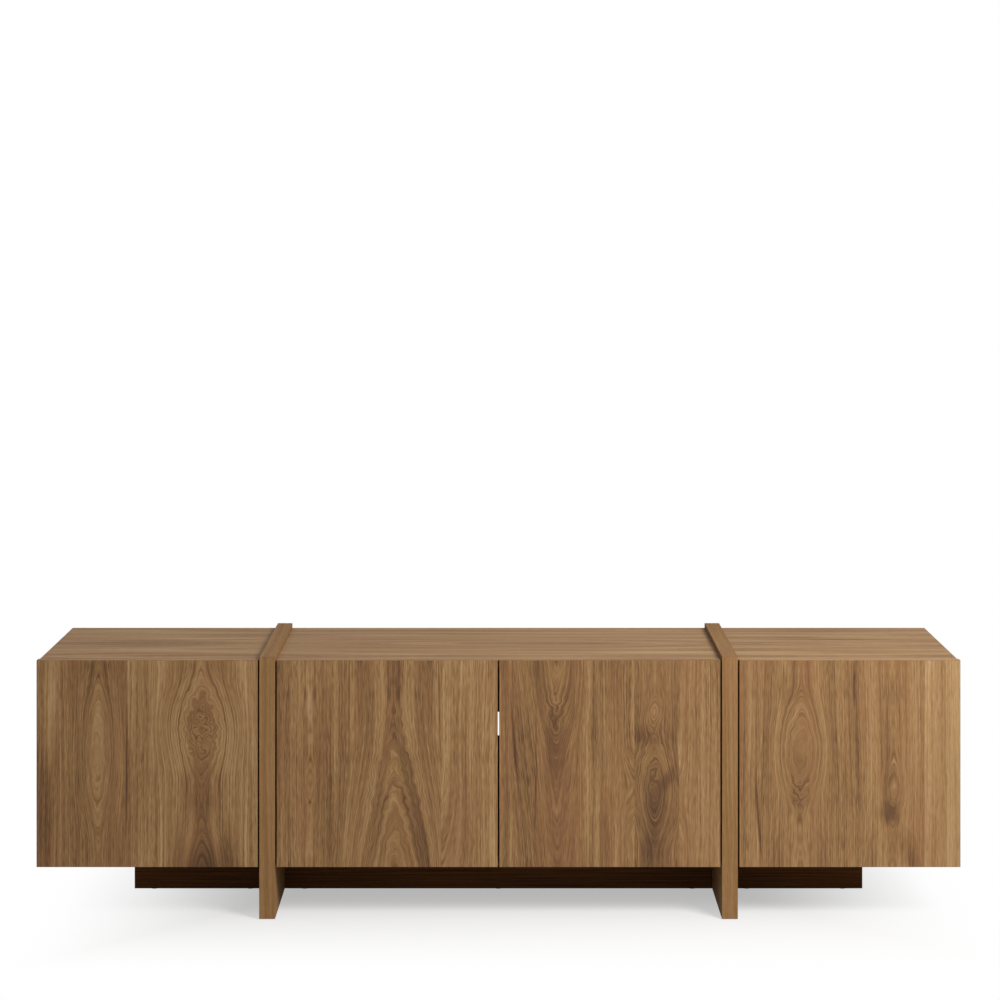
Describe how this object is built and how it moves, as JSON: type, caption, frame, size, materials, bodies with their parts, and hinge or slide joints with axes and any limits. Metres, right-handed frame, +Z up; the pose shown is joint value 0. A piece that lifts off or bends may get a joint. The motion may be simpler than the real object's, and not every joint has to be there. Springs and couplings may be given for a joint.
{
  "type": "tv stand",
  "caption": "Low television cupboard with handleless push-to-open doors on concealed hinges, carried by thick slabs and a set-back plinth, with loose shelves and cable holes inside",
  "frame": {"origin": "on the floor, below the middle of the stand's bounding box", "axes": "+X along the width towards the right end seen from the front, +Y from the doors to the back, +Z up"},
  "size_m": [1.8, 0.435, 0.512],
  "materials": {
    "door_veneer": "satin walnut-effect veneer, grain upright",
    "slab_veneer": "satin walnut-effect veneer, grain upright",
    "top_veneer": "satin walnut-effect veneer, grain lengthways",
    "carcass_veneer": "satin walnut-effect veneer",
    "dark_plinth": "dark brown satin",
    "back_board": "smooth hardboard",
    "beech": "turned beech",
    "zinc_casting": "satin zinc die casting",
    "nickel_steel": "nickel plated",
    "zinc_steel": "zinc plated",
    "latch_plastic": "moulded",
    "plunger_plastic": "moulded",
    "glide_plastic": "moulded"
  },
  "bodies": {
    "root": {"arm_screws": "zinc_steel", "cam_bolts": "zinc_steel", "cam_locks": "zinc_casting", "centre_back": "back_board", "centre_bottom": "carcass_veneer", "centre_left_side": "carcass_veneer", "centre_right_side": "carcass_veneer", "centre_top": "top_veneer", "connector_bolts": "zinc_steel", "connector_sleeves": "zinc_steel", "floor_glides": "glide_plastic", "hinge_arms": "nickel_steel", "latch_housings": "latch_plastic", "left_back": "back_board", "left_bottom": "carcass_veneer", "left_left_side": "carcass_veneer", "left_right_side": "carcass_veneer", "left_shelf": "carcass_veneer", "left_top": "top_veneer", "mounting_plates": "zinc_casting", "plate_screws": "zinc_steel", "plinth_brackets": "zinc_steel", "plinth_centre": "dark_plinth", "plinth_left": "dark_plinth", "plinth_right": "dark_plinth", "right_back": "back_board", "right_bottom": "carcass_veneer", "right_left_side": "carcass_veneer", "right_right_side": "carcass_veneer", "right_shelf": "carcass_veneer", "right_top": "top_veneer", "shelf_pins": "zinc_steel", "support_slab_left": "slab_veneer", "support_slab_right": "slab_veneer", "wood_dowels": "beech", "wood_screws": "zinc_steel"},
    "leaf_left": {"door_left": "door_veneer", "hinge_cups_left": "nickel_steel", "cup_screws_left": "zinc_steel", "strike_plate_left": "zinc_steel"},
    "links_left": {"hinge_links_left": "nickel_steel"},
    "plunger_left": {"latch_plunger_left": "plunger_plastic"},
    "leaf_centre_left": {"door_centre_left": "door_veneer", "hinge_cups_centre_left": "nickel_steel", "cup_screws_centre_left": "zinc_steel", "strike_plate_centre_left": "zinc_steel"},
    "links_centre_left": {"hinge_links_centre_left": "nickel_steel"},
    "plunger_centre_left": {"latch_plunger_centre_left": "plunger_plastic"},
    "leaf_centre_right": {"door_centre_right": "door_veneer", "hinge_cups_centre_right": "nickel_steel", "cup_screws_centre_right": "zinc_steel", "strike_plate_centre_right": "zinc_steel"},
    "links_centre_right": {"hinge_links_centre_right": "nickel_steel"},
    "plunger_centre_right": {"latch_plunger_centre_right": "plunger_plastic"},
    "leaf_right": {"door_right": "door_veneer", "hinge_cups_right": "nickel_steel", "cup_screws_right": "zinc_steel", "strike_plate_right": "zinc_steel"},
    "links_right": {"hinge_links_right": "nickel_steel"},
    "plunger_right": {"latch_plunger_right": "plunger_plastic"}
  },
  "joints": [
    {"name": "links_left_swing", "type": "hinge", "parent": "root", "child": "links_left", "pos_m": [-0.8635, -0.1905, 0.3035], "axis": [0, 0, 1], "range_deg": [0, 24]},
    {"name": "door_left_swing", "type": "hinge", "parent": "links_left", "child": "leaf_left", "pos_m": [-0.8895, -0.206, 0.3035], "axis": [0, 0, -1], "range_deg": [0, 118.75]},
    {"name": "plunger_left_slide", "type": "slide", "parent": "root", "child": "plunger_left", "axis": [0, -1, 0], "range_m": [0, 0.021]},
    {"name": "links_centre_left_swing", "type": "hinge", "parent": "root", "child": "links_centre_left", "pos_m": [-0.39575, -0.1905, 0.3035], "axis": [0, 0, 1], "range_deg": [0, 24]},
    {"name": "door_centre_left_swing", "type": "hinge", "parent": "links_centre_left", "child": "leaf_centre_left", "pos_m": [-0.42175, -0.206, 0.3035], "axis": [0, 0, -1], "range_deg": [0, 118.75]},
    {"name": "plunger_centre_left_slide", "type": "slide", "parent": "root", "child": "plunger_centre_left", "axis": [0, -1, 0], "range_m": [0, 0.021]},
    {"name": "links_centre_right_swing", "type": "hinge", "parent": "root", "child": "links_centre_right", "pos_m": [0.39575, -0.1905, 0.3035], "axis": [0, 0, -1], "range_deg": [0, 24]},
    {"name": "door_centre_right_swing", "type": "hinge", "parent": "links_centre_right", "child": "leaf_centre_right", "pos_m": [0.42175, -0.206, 0.3035], "axis": [0, 0, 1], "range_deg": [0, 118.75]},
    {"name": "plunger_centre_right_slide", "type": "slide", "parent": "root", "child": "plunger_centre_right", "axis": [0, -1, 0], "range_m": [0, 0.021]},
    {"name": "links_right_swing", "type": "hinge", "parent": "root", "child": "links_right", "pos_m": [0.8635, -0.1905, 0.3035], "axis": [0, 0, -1], "range_deg": [0, 24]},
    {"name": "door_right_swing", "type": "hinge", "parent": "links_right", "child": "leaf_right", "pos_m": [0.8895, -0.206, 0.3035], "axis": [0, 0, 1], "range_deg": [0, 118.75]},
    {"name": "plunger_right_slide", "type": "slide", "parent": "root", "child": "plunger_right", "axis": [0, -1, 0], "range_m": [0, 0.021]}
  ],
  "couplings": [
    {"joint": "links_left_swing", "follows": "door_left_swing", "ratio": 0.2},
    {"joint": "plunger_left_slide", "follows": "door_left_swing", "m_per_rad": 0.0096},
    {"joint": "links_centre_left_swing", "follows": "door_centre_left_swing", "ratio": 0.2},
    {"joint": "plunger_centre_left_slide", "follows": "door_centre_left_swing", "m_per_rad": 0.0096},
    {"joint": "links_centre_right_swing", "follows": "door_centre_right_swing", "ratio": 0.2},
    {"joint": "plunger_centre_right_slide", "follows": "door_centre_right_swing", "m_per_rad": 0.0096},
    {"joint": "links_right_swing", "follows": "door_right_swing", "ratio": 0.2},
    {"joint": "plunger_right_slide", "follows": "door_right_swing", "m_per_rad": 0.0096}
  ]
}
